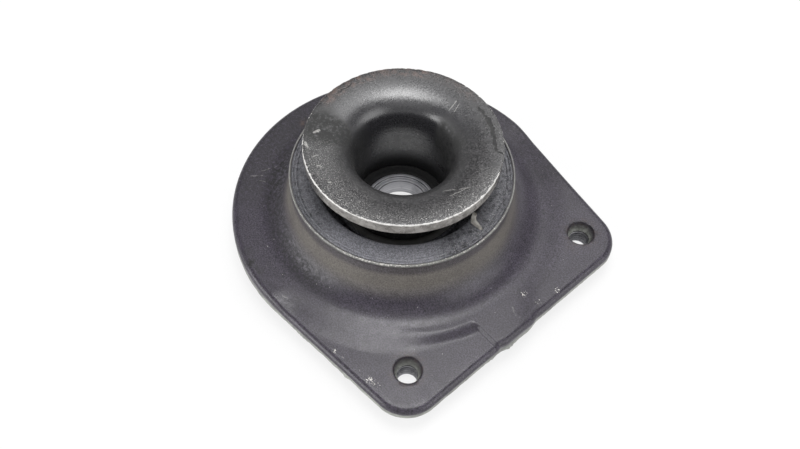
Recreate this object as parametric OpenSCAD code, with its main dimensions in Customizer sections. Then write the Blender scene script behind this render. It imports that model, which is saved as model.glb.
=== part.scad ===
// Strut mount: pick-shaped flange with a bell and two weld nuts, a bonded rubber element,
// a trumpet stop dish and a ball bearing at the bottom of its throat.
// Millimetres, +Z up along the strut axis, origin on the axis at the plate's underside,
// +X towards the edge between the two bolt holes.

/* [Flange plate] */
// Radius of the round back of the plate
back_r = 71.3; // [70:0.1:75]
// Centre of the round back, behind the strut axis
back_shift = 1.7; // [0:0.1:3]
// Radius of the near corner
near_r = 14.8; // [13:0.1:18]
// Near corner's centre in front of the axis
near_x = 62; // [59:0.1:65]
// Near corner's centre to the side of the axis
near_y = 51.7; // [48:0.1:53]
// Radius of the far corner
far_r = 15.9; // [14:0.1:18]
// Far corner's centre in front of the axis
far_x = 59.6; // [58:0.1:64]
// Far corner's centre to the side of the axis
far_y = 46.3; // [45:0.1:50]
// Thickness of the plate at the sunken corner pads
pad_h = 5.5; // [4.8:0.1:7]
// Height of the raised ring and bridge above the pads
ring_rise = 1.8; // [1.4:0.1:2.6]
// Outer radius of the raised ring around the bell
ring_r = 65.5; // [64:0.5:67]
// Radius of the rounded top edge of the plate
rim_round = 2.2; // [1:0.1:3]
// Where the raised back ends and the pads begin, in front of the axis
back_end = 8; // [4:0.5:14]
// Near side of the raised bridge between the pads
bridge_near = -16; // [-20:0.5:-12]
// Far side of the raised bridge
bridge_far = 3; // [0:0.5:8]
// How far the bridge's edge stands out of the front edge
bridge_bulge = 0.9; // [0.2:0.1:1.5]

/* [Bolt holes] */
// Distance between the two bolt holes
bolt_spacing = 98.4; // [96:0.2:100]
// Distance of the line of bolt holes in front of the axis
bolt_reach = 59.9; // [58:0.1:62]
// Diameter of the tapped bores, the minor diameter of an M10 thread
tap_d = 8.4; // [7.5:0.05:9]
// Diameter of the dimple around each bore
dimple_d = 13.6; // [12:0.1:15]
// Depth of the dimple
dimple_depth = 4.3; // [3:0.1:4.6]
// Width of the weld nuts across their flats
nut_w = 17; // [15:0.5:18]
// Height of the weld nuts below the plate
nut_h = 7; // [5:0.5:9]

/* [Bell] */
// Outer radius of the bell just above its foot
bell_foot_r = 48.4; // [47.5:0.1:50]
// Outer radius of the bell below its lip
bell_top_r = 45.4; // [44.8:0.1:46]
// Radius of the fillet between bell and plate
foot_fillet = 14; // [10:0.5:15]
// Outer radius of the lip
lip_r = 46.4; // [46.1:0.1:48]
// Height of the top of the lip
lip_z = 31.5; // [29:0.1:34]
// Wall thickness of the bell
bell_wall = 2.9; // [2:0.1:3.5]

/* [Rubber element] */
// Depth of the rubber face below the lip
face_drop = 0.8; // [0.3:0.1:1.5]
// Inner radius of the flat rubber face
face_r = 35.6; // [34.5:0.1:38]
// Radius of the round bottom of the groove
groove_r = 3.4; // [2.5:0.1:3.8]
// Height of the centre of the round bottom of the groove
groove_z = 15; // [13:0.5:17]
// Height of the rubber's lower edge on the bell
skirt_z = 10; // [8:0.5:12]
// Thickness of the fin that stands on the face
fin_t = 1.4; // [1:0.1:2.5]
// Height of the fin above the face
fin_h = 6; // [2:0.5:7]
// Direction of the fin, seen from the axis
fin_angle = 6.5; // [-20:0.5:20]

/* [Stop dish] */
// Outer radius of the dish
dish_r = 40; // [38:0.2:42]
// Height of the top of the dish
dish_z = 49.4; // [46:0.2:54]
// Wall thickness of the tube below the dish
tube_wall = 4; // [3.5:0.1:5]
// Radius of the trumpet curve
flare_r = 16.5; // [14:0.1:17.5]
// Height of the cut edge of the dish
edge_h = 5.3; // [4.2:0.1:7]

/* [Bearing] */
// Bore of the bearing
bearing_bore = 22; // [20:0.5:23]
// Outer diameter of the bearing
bearing_od = 47; // [46.6:0.1:48]
// Width of the bearing
bearing_w = 8.5; // [8:0.1:9]
// Height of the bearing's lower face
bearing_z = 0.9; // [0.5:0.1:1.5]
// Ball diameter
ball_d = 4.8; // [4.4:0.1:4.9]
// Wall thickness of the cup around the bearing
cup_wall = 3; // [2:0.1:3.2]

/* [Hidden] */
$fn = 96;
ball_count = 12;

// Overrun of a cutter past the face it opens
cut_over = 1;
// Small overlap that keeps curved faces from meeting at a tangent
seam = 0.06;
hole_y = bolt_spacing / 2;
ring_h = pad_h + ring_rise;
// Slope of the chamfer cone at the foot of the nuts, and how far the cone reaches out
nut_slope = 30;
nut_reach = 0.6 * nut_w;
// The plate's outline is the taut band around three circles, each [x, y, radius]
back_circle = [-back_shift, 0, back_r];
near_circle = [near_x, -near_y, near_r];
far_circle = [far_x, far_y, far_r];
front_mid = (near_x + near_r + far_x + far_r) / 2;
lift = pad_h / 4;
bridge_depth = front_mid + bridge_bulge - ring_r + ring_rise + rim_round;
plate_fn = 64;
raised_inset = 0.15;
// Small differences of level that keep flat faces of joined forms apart
level_step = 0.05;

// Bell: the cone leans in from cone_base_z to the neck, the lip flares out above it
neck_drop = 3.1;
lip_flare_drop = 1.9;
inner_flare_drop = 1.5;
lip_edge = 0.9;
cone_base_z = 14;
foot_ease = 1;
neck_z = lip_z - neck_drop;
lip_base_z = lip_z - lip_flare_drop;
inner_lip_z = lip_z - inner_flare_drop;
lip_inner_r = lip_r - lip_edge;
inner_foot_r = bell_foot_r - bell_wall + foot_ease;
inner_neck_r = bell_top_r - bell_wall;
cone_tilt = atan2(bell_foot_r - bell_top_r, neck_z - cone_base_z);
fillet_z = ring_h + foot_fillet - seam;
fillet_x = bell_foot_r
    + (foot_fillet - (fillet_z - cone_base_z) * sin(cone_tilt)) / cos(cone_tilt);

// Rubber: flat face inside the lip, a deep groove, and a skin on the cup
cup_r = bearing_od / 2 + cup_wall;
cup_skin = 1.1;
ridge_r = 0.45;
ridge_insets = [0.7, 2.1];
fin_sink = 1;
fin_foot = 6.5;
fin_top = 1.5;
fin_start = 1.2;
web_run = 6;
web_rise = 1;
skirt_run = 7;
rubber_foot_z = 3;
face_z = lip_z - face_drop;
groove_x = cup_r + cup_skin + groove_r;

// Stop dish and cup
cup_stand_up = 0.5;
cup_top_z = groove_z + cup_stand_up;
tube_r = bearing_od / 2;
throat_r = tube_r - tube_wall;
flare_x = throat_r + flare_r;
flare_z = dish_z - flare_r;

// Bearing: races, seals and cage around one pitch circle
bearing_top = bearing_z + bearing_w;
bearing_mid = bearing_z + bearing_w / 2;
pitch_shift = 0.75;
pitch_r = (bearing_bore + bearing_od) / 4 + pitch_shift;
ball_r = ball_d / 2;
race_play = 0.1;
shoulder = 1.8;
inner_shoulder_r = pitch_r - shoulder;
outer_shoulder_r = pitch_r + shoulder;
rebate_wall = 0.8;
rebate_r = outer_shoulder_r + rebate_wall;
seal_gap = 0.2;
seal_t = 0.6;
seal_sink = 0.1;
rebate_depth = seal_t + seal_sink;
top_chamfer = 0.4;
low_chamfer = 0.6;
face_groove_in = 1.3;
face_groove_r = bearing_bore / 2 + face_groove_in;
face_groove_w = 0.8;
inner_rebate_in = 1.2;
inner_rebate_r = inner_shoulder_r - inner_rebate_in;
cage_half = 1;
cage_floor = bearing_w / 2 - rebate_depth - seal_gap;
cage_rise = 0.9;
pocket_play = 0.15;

// Section of a slab from the Y axis to its outer face, its outer top corner rounded
module edge_section(w, h, e) {
    square([w - e, h]);
    square([w, h - e]);
    translate([w - e, h - e]) circle(e);
}

module round_disc(r, h, e) {
    rotate_extrude() edge_section(r, h, e);
}

// The plate between its underside and height h, its outline moved in all round
module plate_body(h, inset) {
    hull()
        for (c = [back_circle, near_circle, far_circle])
            translate([c.x, c.y, 0]) round_disc(c[2] - inset, h, rim_round, $fn = plate_fn);
}

// The raised back: a thicker plate behind the pads, its edge just inside the lower one
module raised_back() {
    intersection() {
        plate_body(ring_h - level_step, raised_inset);
        translate([-2 * back_r, -2 * back_r, lift])
            cube([2 * back_r + back_end, 4 * back_r, 2 * ring_h]);
    }
}

// The raised bridge between the pads, its rounded edge standing out of the front edge
module bridge() {
    translate([front_mid + bridge_bulge - bridge_depth, bridge_far, lift])
        rotate([90, 0, 0])
            linear_extrude(bridge_far - bridge_near)
                edge_section(bridge_depth, ring_h - 2 * level_step - lift, rim_round);
}

module bell_section() {
    difference() {
        polygon([
            [0, lift],
            [fillet_x, lift],
            [fillet_x, ring_h],
            [fillet_x - foot_fillet * cos(cone_tilt), fillet_z - foot_fillet * sin(cone_tilt)],
            [bell_top_r, neck_z],
            [lip_r, lip_base_z],
            [lip_r, lip_z],
            [0, lip_z]]);
        translate([fillet_x, fillet_z]) circle(foot_fillet + seam);
    }
}

module bell_cavity() {
    rotate_extrude()
        polygon([
            [0, -cut_over],
            [inner_foot_r, -cut_over],
            [inner_foot_r, skirt_z],
            [inner_neck_r, neck_z],
            [lip_inner_r, inner_lip_z],
            [lip_inner_r, lip_z + cut_over],
            [0, lip_z + cut_over]]);
}

module bolt_hole() {
    tap_r = tap_d / 2;
    slope = (dimple_d / 2 - tap_r) / dimple_depth;
    rotate_extrude()
        polygon([
            [0, -cut_over],
            [tap_r, -cut_over],
            [tap_r, pad_h - dimple_depth],
            [dimple_d / 2 + slope * cut_over, pad_h + cut_over],
            [0, pad_h + cut_over]]);
}

module flange_housing() {
    color([0.24, 0.23, 0.25])
    difference() {
        union() {
            plate_body(pad_h, 0);
            raised_back();
            bridge();
            translate([0, 0, lift]) round_disc(ring_r, ring_h - lift, rim_round / 2);
            rotate_extrude() bell_section();
        }
        bell_cavity();
        for (s = [-1, 1]) translate([bolt_reach, s * hole_y, 0]) bolt_hole();
    }
}

// Hexagonal nut under a corner pad, side -1 near and 1 far, chamfered at its foot
module weld_nut(side) {
    color([0.42, 0.41, 0.40])
    translate([bolt_reach, side * hole_y, -nut_h])
        difference() {
            intersection() {
                cylinder(d = nut_w / cos(30), h = nut_h, $fn = 6);
                rotate_extrude()
                    polygon([
                        [0, 0],
                        [nut_w / 2, 0],
                        [nut_reach, (nut_reach - nut_w / 2) * tan(nut_slope)],
                        [nut_reach, nut_h],
                        [0, nut_h]]);
            }
            translate([0, 0, -cut_over]) cylinder(d = tap_d, h = nut_h + 2 * cut_over);
        }
}

module rubber_section() {
    difference() {
        polygon([
            [inner_foot_r, skirt_z],
            [inner_neck_r, neck_z],
            [lip_inner_r, inner_lip_z],
            [lip_inner_r, face_z],
            [face_r, face_z],
            [groove_x + groove_r, groove_z],
            [cup_r, groove_z],
            [cup_r, rubber_foot_z],
            [cup_r + web_run, rubber_foot_z + web_rise],
            [inner_foot_r - skirt_run, skirt_z]]);
        translate([groove_x, groove_z]) circle(groove_r);
    }
    for (inset = ridge_insets) translate([lip_inner_r - inset, face_z]) circle(ridge_r);
}

// Upright fin on the rubber face, drawn in the plane through the axis
module fin() {
    rotate([0, 0, fin_angle])
        translate([face_r, fin_t / 2, face_z])
            rotate([90, 0, 0])
                linear_extrude(fin_t)
                    polygon([
                        [fin_start, -fin_sink],
                        [fin_start + fin_foot, -fin_sink],
                        [fin_start + fin_foot, 0],
                        [fin_start + fin_top, fin_h],
                        [fin_start, fin_h]]);
}

module rubber_element() {
    color([0.13, 0.13, 0.14])
    union() {
        rotate_extrude() rubber_section();
        fin();
    }
}

module stop_dish() {
    color([0.30, 0.29, 0.29])
    rotate_extrude() {
        translate([throat_r, bearing_top]) square([tube_wall, flare_z - bearing_top]);
        intersection() {
            translate([flare_x, flare_z])
                difference() {
                    circle(flare_r);
                    circle(flare_r - tube_wall);
                }
            translate([throat_r, flare_z]) square(flare_r);
        }
        translate([flare_x, dish_z - edge_h]) square([dish_r - flare_x, edge_h]);
    }
}

module bearing_cup() {
    color([0.36, 0.35, 0.34])
    rotate_extrude()
        translate([tube_r, -nut_h])
            square([cup_wall, cup_top_z + nut_h]);
}

module bearing_outer_ring() {
    color([0.72, 0.72, 0.73])
    rotate_extrude()
        difference() {
            translate([outer_shoulder_r, bearing_z])
                square([bearing_od / 2 - outer_shoulder_r, bearing_w]);
            translate([pitch_r, bearing_mid]) circle(ball_r + race_play);
            for (z = [bearing_z - cut_over, bearing_top - rebate_depth])
                translate([outer_shoulder_r - cut_over, z])
                    square([rebate_r - outer_shoulder_r + cut_over, rebate_depth + cut_over]);
        }
}

// Corner of a square cutter that takes a chamfer off an edge
module chamfer_cut(size) {
    rotate(45) square(size * sqrt(2), center = true);
}

module bearing_inner_ring() {
    color([0.80, 0.80, 0.80])
    rotate_extrude()
        difference() {
            translate([bearing_bore / 2, bearing_z])
                square([inner_shoulder_r - bearing_bore / 2, bearing_w]);
            translate([pitch_r, bearing_mid]) circle(ball_r + race_play);
            translate([face_groove_r, bearing_top - face_groove_w])
                square([face_groove_w, 2 * face_groove_w]);
            for (z = [bearing_z - cut_over, bearing_top - rebate_depth - seal_gap])
                translate([inner_rebate_r, z])
                    square([inner_rebate_in + cut_over, rebate_depth + seal_gap + cut_over]);
            translate([bearing_bore / 2, bearing_top]) chamfer_cut(top_chamfer);
            translate([bearing_bore / 2, bearing_z]) chamfer_cut(low_chamfer);
        }
}

module bearing_seal(z) {
    color([0.06, 0.06, 0.06])
    rotate_extrude()
        translate([inner_rebate_r + seal_gap, z])
            square([rebate_r - inner_rebate_r - seal_gap, seal_t]);
}

module bearing_seal_upper() {
    bearing_seal(bearing_top - rebate_depth);
}

module bearing_seal_lower() {
    bearing_seal(bearing_z + seal_sink);
}

module at_ball(i) {
    rotate([0, 0, 360 * i / ball_count]) translate([pitch_r, 0, bearing_mid]) children();
}

module ball_cage() {
    color([0.55, 0.45, 0.28])
    difference() {
        rotate_extrude()
            translate([pitch_r - cage_half, bearing_mid - cage_floor])
                square([2 * cage_half, cage_floor + cage_rise]);
        for (i = [1:ball_count]) at_ball(i) sphere(ball_r + pocket_play);
    }
}

module bearing_ball(i) {
    color([0.85, 0.85, 0.86])
    at_ball(i) sphere(ball_r);
}

flange_housing();
weld_nut(-1);  // weld_nut_near
weld_nut(1);  // weld_nut_far
rubber_element();
stop_dish();
bearing_cup();
bearing_outer_ring();
bearing_inner_ring();
bearing_seal_upper();
bearing_seal_lower();
ball_cage();
for (i = [1:ball_count]) bearing_ball(i);
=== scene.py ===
import math

import bmesh
import bpy
import numpy as np
from mathutils import Matrix, Vector


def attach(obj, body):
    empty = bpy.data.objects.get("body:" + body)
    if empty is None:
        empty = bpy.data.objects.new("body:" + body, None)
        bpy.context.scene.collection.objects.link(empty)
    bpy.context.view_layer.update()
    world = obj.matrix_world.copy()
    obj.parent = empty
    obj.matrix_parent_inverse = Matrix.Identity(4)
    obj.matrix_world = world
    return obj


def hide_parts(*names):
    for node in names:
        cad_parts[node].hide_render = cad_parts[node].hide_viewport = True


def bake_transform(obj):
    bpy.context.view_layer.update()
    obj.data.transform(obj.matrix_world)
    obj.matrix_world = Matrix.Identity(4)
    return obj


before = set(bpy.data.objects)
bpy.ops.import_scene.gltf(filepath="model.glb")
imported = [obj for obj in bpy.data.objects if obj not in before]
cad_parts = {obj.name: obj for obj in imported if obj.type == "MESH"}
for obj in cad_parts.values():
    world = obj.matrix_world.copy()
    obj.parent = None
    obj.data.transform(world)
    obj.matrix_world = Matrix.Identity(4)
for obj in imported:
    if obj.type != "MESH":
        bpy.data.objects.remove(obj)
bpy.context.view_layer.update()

MM = 0.001
TAU = 2 * math.pi
rng = np.random.default_rng(8)

# Plate, in millimetres; each circle of its outline is (x, y, radius)
BACK = (-1.7, 0.0, 71.3)
NEAR = (62.0, -51.7, 14.8)
FAR = (59.6, 46.3, 15.9)
PAD_H = 5.5
RING_H = 7.3
RING_R = 65.8
# Half the width of the band of close rows at the step of the ring
STEP_BAND = 2.6
# Radius of the plate's rounded upper edge
RIM = 2.6
# The raised back of the plate ends near this x
BACK_END = 7.5
# The bridge's near side has one y, and its far side slants through (BRIDGE_X, BRIDGE_FAR_Y)
BRIDGE_X = 62.0
BRIDGE_NEAR_Y = -16.0
BRIDGE_FAR_Y = 5.6
BRIDGE_SLANT = 0.415
BRIDGE_BULGE = 0.9
# Round rows of the flat underside end here, and the next ones follow the outline
UNDER_R = 60.0
# Sectors, in degrees, where the step of the ring is soft: from, to, fade
FAR_SOFT = (8, 80, 16)
NEAR_SOFT = (-110, -52, 26)
# Section of the plate's edge: outwards, share of the flash, height
EDGE_PROFILE = ((-0.55, 0.0, 0.0), (-0.25, 1.0, 0.12), (-0.05, 1.0, 0.5), (0.02, 0.8, 1.1),
                (0.02, 0.6, 1.6), (-0.22, 0.3, 1.95), (-0.30, 0.0, 2.25), (-0.10, 0.0, 2.6))
# Lumps of flash on the edge: x, y, width, size
EDGE_LUMPS = ((19.4, -70.7, 2.2, 0.45), (44.0, -67.7, 1.8, 0.4),
              (76.8, -19.0, 1.6, 0.5), (77.3, -9.3, 2.4, 0.55))

# Bolt holes and weld nuts
BOLT_X = 59.9
BOLT_Y = 49.2
TAP_R = 4.2
DIMPLE_R = 6.1
DIMPLE_DEPTH = 4.3
THREAD = 1.5
THREAD_DEPTH = 0.4
NUT_W = 17.0
NUT_H = 7.0
NUT_CHAMFER = 30.0

# Bell and lip
FILLET = 14.0
FOOT_R = 48.4
FOOT_Z = 14.0
NECK_R = 45.4
NECK_Z = 28.4
LIP_R = 46.4
LIP_Z = 31.5
LIP_BASE_Z = 29.6
LIP_FLOOR_Z = 30.0
LIP_INNER_R = 45.5
INNER_NECK_R = 42.5
CAVITY_R = 46.5
SKIRT_Z = 10.0

# Rubber; the fin stands on its face
FACE_Z = 30.7
RUBBER_IN_R = 26.5
GROOVE_R = 31.0
GROOVE_Z = 15.0
GROOVE_HALF = 3.4
RIDGES = (44.8, 43.4)
RIDGE_HALF = 0.45
FIN_ANGLE = 6.5
FIN_R = 36.8
FIN_H = 6.8
FIN_SUNK = 0.8
FIN_FOOT = 4.2
FIN_TOP = 1.8
FIN_THICK = 0.72
FIN_LEAN = 0.3
FIN_CORNER = 0.6

# Dish
DISH_R = 40.0
DISH_Z = 49.4
EDGE_H = 5.3
THROAT_R = 19.5
TUBE_R = 23.5
FLARE_R = 16.5
# The upper face of the flare runs from RIM_R in to HEAD_R, and eases into the throat over HEAD_DROP
RIM_R = 38.6
HEAD_R = 20.6
HEAD_DROP = 8.5

# Bearing and cup
BEARING_TOP = 9.4
BEARING_LOW = 0.9
BALL_Z = 5.15
BORE_R = 11.0
INNER_LAND_R = 15.0
INNER_SHOULDER_R = 16.2
OUTER_SHOULDER_R = 19.8
SEAL_SEAT_R = 20.6
BEARING_R = 23.4
FACE_GROOVE = (12.5, 13.7)
FACE_GROOVE_Z = 8.5
CUP_IN_R = 23.55
CUP_R = 26.4
CUP_TOP = 15.4

# Marks on the plate and the dish: place, amount, radius, fade
# One spot, on the bell's front foot, is painted shade; the others are dark stains
PLATE_DIRT_AND_SHADE = (
    ((-18.4, -66.6, 7.0), 0.95, 1.2, 2.6), ((-13.2, -66.5, 7.0), 0.7, 1.0, 2.6),
    ((-23.0, -64.5, 6.5), 0.5, 1.0, 3.0), ((9.0, -66.0, 6.5), 0.35, 2.0, 4.0),
    ((34.3, -33.6, 13.0), 0.5, 1.2, 2.0))
PLATE_RUST = (((-62.0, -2.4, 7.3), 0.7, 1.5, 2.5), ((63.0, 40.0, 5.5), 0.25, 1.0, 2.5))
PLATE_CHIPS = (
    ((35.4, -65.5, 5.5), 0.95, 0.5, 1.2), ((39.0, -65.0, 5.5), 0.8, 0.3, 1.2),
    ((53.7, -63.2, 5.4), 0.95, 1.0, 2.0), ((57.0, -62.0, 5.4), 0.7, 0.8, 1.8),
    ((65.8, 9.1, 6.6), 0.9, 1.0, 1.8), ((71.6, 11.0, 5.9), 0.8, 0.8, 1.8),
    ((72.7, 21.0, 5.3), 0.9, 0.8, 1.8), ((66.8, 23.6, 5.8), 0.7, 0.5, 1.5),
    ((63.6, -34.4, 5.5), 1.0, 0.25, 0.4), ((-4.6, -60.2, 7.3), 1.0, 0.3, 0.4),
    ((-31.6, -40.9, 7.3), 0.9, 0.2, 0.4))
DISH_DIRT = (
    ((-27.5, -20.0, 47.5), 1.0, 6.5, 6.0), ((-21.5, -15.5, 45.5), 1.0, 4.0, 4.0),
    ((-14.0, -29.0, 48.0), 0.35, 4.0, 7.0))
DISH_CHIPS = (
    ((-26.7, -22.3, 48.2), 0.95, 0.7, 1.2), ((-11.4, -32.3, 48.6), 0.8, 0.5, 1.2),
    ((-24.5, -30.2, 49.4), 0.8, 0.8, 1.2))

# Lines on the plate and, seen from above, on the dish: start, end, half width, fade
PLATE_SCRATCHES = (
    ((-54.0, -40.0, 7.3), (-51.0, -35.2, 7.3), 0.08, 0.2),
    ((-53.2, -34.5, 7.3), (-50.4, -27.4, 7.3), 0.06, 0.18),
    ((-51.0, -39.4, 7.3), (-47.2, -37.0, 7.3), 0.05, 0.16),
    ((40.1, -28.3, 20.0), (40.8, -27.0, 19.0), 0.10, 0.25),
    ((3.0, -66.5, 7.3), (6.5, -64.6, 7.3), 0.08, 0.2),
    ((67.0, 0.6, 7.3), (70.5, -1.2, 7.3), 0.05, 0.5))
DISH_CRACK = (
    ((6.3, 35.4, 0), (12.5, 34.2, 0), 0.20, 0.5), ((12.5, 34.2, 0), (17.6, 31.8, 0), 0.50, 0.5),
    ((17.6, 31.8, 0), (21.7, 28.8, 0), 0.50, 0.5), ((21.7, 28.8, 0), (26.6, 25.2, 0), 0.25, 0.4),
    ((26.6, 25.2, 0), (29.6, 25.6, 0), 0.10, 0.35), ((-37.0, 5.0, 0), (-36.9, -3.0, 0), 0.05, 0.4))
DISH_SCRATCHES = (
    ((-1.4, 26.4, 0), (-2.4, 31.4, 0), 0.06, 0.18), ((0.4, 27.0, 0), (-0.6, 31.0, 0), 0.05, 0.16),
    ((27.0, -3.5, 0), (29.4, 0.4, 0), 0.04, 0.14), ((30.5, 1.6, 0), (33.4, 5.2, 0), 0.04, 0.14),
    ((30.5, -3.5, 0), (32.6, 4.5, 0), 0.05, 0.16), ((-26.9, -23.6, 0), (-26.3, -21.0, 0), 0.3, 0.4),
    ((-13.0, -33.2, 0), (-12.2, -32.4, 0), 0.16, 0.3), ((-24.9, -29.6, 0), (-22.6, -30.4, 0), 0.3, 0.3),
    ((-4.0, -35.0, 0), (-3.4, -34.2, 0), 0.14, 0.3), ((-17.6, -31.8, 0), (-17.0, -29.6, 0), 0.06, 0.2))

# Colours, linear
# Near black, for stains and for painted shade
GRIME_AND_SHADE = (0.003, 0.003, 0.003)
# Light grey, for dust flecks, and for painted sheen on the dish's left flare
DUST_AND_SHEEN = (0.42, 0.41, 0.40)
PAINT_DARK = (0.004, 0.003, 0.006)
PAINT_LIGHT = (0.080, 0.068, 0.096)
PAINT_BLOTCH = (0.012, 0.010, 0.014)
# Lighter, warmer grey of the bell's flank: partly its finish, partly painted reflected light
WARM_SHEEN_DARK = (0.103, 0.094, 0.084)
WARM_SHEEN_LIGHT = (0.208, 0.193, 0.174)
# Painted reflection of the white table on the plate's foot, and painted highlight on the lip's top edge
PAINTED_EDGE_REFLECTION = (0.34, 0.35, 0.32)
PAINT_RUST = (0.075, 0.045, 0.034)
PAINT_CHIP = (0.62, 0.60, 0.57)
PAINT_SCRATCH = (0.40, 0.39, 0.38)
DISH_DARK = (0.004, 0.004, 0.005)
DISH_LIGHT = (0.085, 0.081, 0.085)
DISH_BLOTCH = (0.014, 0.014, 0.015)
DISH_CLEAN_DARK = (0.020, 0.020, 0.023)
DISH_CLEAN_LIGHT = (0.040, 0.039, 0.043)
DISH_RUST = (0.105, 0.072, 0.063)
DISH_CRACK_COLOUR = (0.004, 0.004, 0.004)
DISH_CHIP = (0.50, 0.49, 0.48)
DISH_SCRATCH = (0.46, 0.45, 0.43)
CUT_DARK = (0.165, 0.156, 0.146)
CUT_LIGHT = (0.33, 0.316, 0.298)
EDGE_BRIGHT = (0.62, 0.61, 0.59)
RUBBER_DARK = (0.14, 0.14, 0.158)
RUBBER_LIGHT = (0.365, 0.365, 0.40)
# Near black, for painted shade on the rubber
RUBBER_SHADE = (0.010, 0.010, 0.011)
RUBBER_SPARKLE = (0.40, 0.40, 0.41)
FIN_DARK = (0.20, 0.19, 0.17)
FIN_LIGHT = (0.42, 0.40, 0.37)
SEAL_DARK = (0.004, 0.004, 0.005)
SEAL_LIGHT = (0.014, 0.014, 0.014)
TABLE_DARK = (0.86, 0.86, 0.86)
TABLE_LIGHT = (0.90, 0.90, 0.90)

# Camera, solved from the round edges in the picture
PICTURE_W = 800
FOCAL_PIXELS = 1000
SHIFT_PIXELS = 24.5
SENSOR_W = 36.0
CAMERA_ELEVATION = 55.60
CAMERA_ROLL = 0.57
CAMERA_TURN = 48.8
CAMERA_DISTANCE = 430.7
CAMERA_AIM = (0.0249, 0.01859)
CAMERA_AIM_Z = 6.1

# Lamps: name, azimuth and elevation in degrees, distance and width in metres, power in watts
LAMPS = (("softbox", 136, 86, 0.9, 0.46, 4.4),
         ("back", 108, 58, 1.2, 0.70, 2.6),
         ("front", -48, 62, 1.1, 0.80, 0.8),
         ("left", -112, 9, 1.2, 1.00, 10.2),
         ("right", 18, 24, 1.2, 1.00, 4.4))
LAMP_AIM_Z = 20.0
TABLE_HALF = 3000.0
TABLE_GAP = 0.05
TABLE_GLOW = 0.80
SKY = {"From Min": 0.10, "From Max": 0.60, "To Min": 0.65, "To Max": 0.36}


def smooth(a, b, x):
    """0 up to a and 1 from b on, with a soft rise between them."""
    t = np.clip((x - a) / (b - a), 0, 1)
    return t * t * (3 - 2 * t)


def wave(angle, low, high, count):
    """Bumps around the circle, mostly between -1 and 1: sines with low to high periods, added up."""
    periods = rng.integers(low, high, count)
    phases = rng.uniform(0, TAU, count)
    return sum(np.sin(n * angle + q) for n, q in zip(periods, phases)) / math.sqrt(count)


def sector(angle, a, b, soft):
    """1 between two directions in degrees, falling to 0 over soft degrees outside them."""
    mid = math.radians((a + b) / 2)
    off = np.degrees(np.abs((angle - mid + math.pi) % TAU - math.pi))
    half = (b - a) / 2
    return 1 - smooth(half, half + soft, off)


def spots(co, marks):
    """Sum of round marks, each (place, amount, radius, fade)."""
    total = np.zeros(len(co))
    for place, amount, radius, fade in marks:
        away = np.linalg.norm(co - np.array(place), axis=1)
        total += amount * (1 - smooth(radius, radius + fade, away))
    return total


def bell_curve(x, width):
    return np.exp(-(x / width) ** 2)


def make_object(name, co, faces):
    mesh = bpy.data.meshes.new(name)
    mesh.from_pydata([tuple(v) for v in co * MM], [], [tuple(f) for f in faces])
    mesh.update()
    obj = bpy.data.objects.new(name, mesh)
    bpy.context.scene.collection.objects.link(obj)
    return obj


def band(low, high, n):
    """Quads between two rings of n points, whose first points have the numbers low and high."""
    i = np.arange(n)
    j = (i + 1) % n
    return np.stack([low + i, low + j, high + j, high + i], 1)


def loft(name, rows):
    """Closed body from rings of points: each row closes round, and the last row joins the first."""
    n = len(rows[0])
    starts = [k * n for k in range(len(rows))]
    faces = [band(a, b, n) for a, b in zip(starts, starts[1:] + starts[:1])]
    return make_object(name, np.concatenate(rows), np.concatenate(faces))


def capped_loft(name, rows):
    """Closed body from rings of points, with a cap on the first and on the last ring."""
    n = len(rows[0])
    last = (len(rows) - 1) * n
    faces = [tuple(f) for k in range(0, last, n) for f in band(k, k + n, n)]
    faces.append(tuple(range(n))[::-1])
    faces.append(tuple(range(last, last + n)))
    return make_object(name, np.concatenate(rows), faces)


def turn_faces_out(mesh):
    bm = bmesh.new()
    bm.from_mesh(mesh)
    bmesh.ops.recalc_face_normals(bm, faces=bm.faces)
    bm.to_mesh(mesh)
    bm.free()


def finish_mesh(obj, angle):
    """Smooth shading, with edges sharper than the angle in degrees left sharp."""
    turn_faces_out(obj.data)
    obj.data.shade_smooth()
    obj.data.set_sharp_from_angle(angle=math.radians(angle))


def set_mask(obj, name, values):
    attribute = obj.data.attributes.new(name, "FLOAT", "POINT")
    attribute.data.foreach_set("value", np.clip(values, 0, 1).astype(np.float32))


def points_of(obj):
    """An object's points in millimetres, with their radius, direction and height."""
    co = np.empty(len(obj.data.vertices) * 3)
    obj.data.vertices.foreach_get("co", co)
    co = co.reshape(-1, 3) / MM
    return co, np.hypot(co[:, 0], co[:, 1]), np.arctan2(co[:, 1], co[:, 0]), co[:, 2]


def section(corners, seg=5, gap=1.0):
    """Closed section with rounded corners, each given as (r, z, radius), cut into short steps."""
    pts = []
    n = len(corners)
    for i in range(n):
        p0 = np.array(corners[i - 1][:2], float)
        p = np.array(corners[i][:2], float)
        p1 = np.array(corners[(i + 1) % n][:2], float)
        radius = corners[i][2]
        if radius <= 0:
            pts.append(p)
            continue
        la, lb = np.linalg.norm(p0 - p), np.linalg.norm(p1 - p)
        a, b = (p0 - p) / la, (p1 - p) / lb
        half = math.acos(np.clip(a @ b, -1, 1)) / 2
        t = min(radius / math.tan(half), 0.48 * min(la, lb))
        radius = t * math.tan(half)
        c = p + (a + b) / np.linalg.norm(a + b) * radius / math.sin(half)
        s, e = p + a * t - c, p + b * t - c
        s0 = math.atan2(s[1], s[0])
        turn = (math.atan2(e[1], e[0]) - s0 + math.pi) % TAU - math.pi
        for k in range(seg + 1):
            w = s0 + turn * k / seg
            pts.append(c + radius * np.array([math.cos(w), math.sin(w)]))
    out = []
    for a, b in zip(pts, pts[1:] + pts[:1]):
        steps = max(1, math.ceil(np.linalg.norm(b - a) / gap))
        out += [a + (b - a) * k / steps for k in range(steps)]
    return np.array(out)


def ring_rows(pts, angle):
    c, s = np.cos(angle), np.sin(angle)
    return [np.stack([r * c, r * s, np.full_like(c, z)], 1) for r, z in pts]


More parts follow.
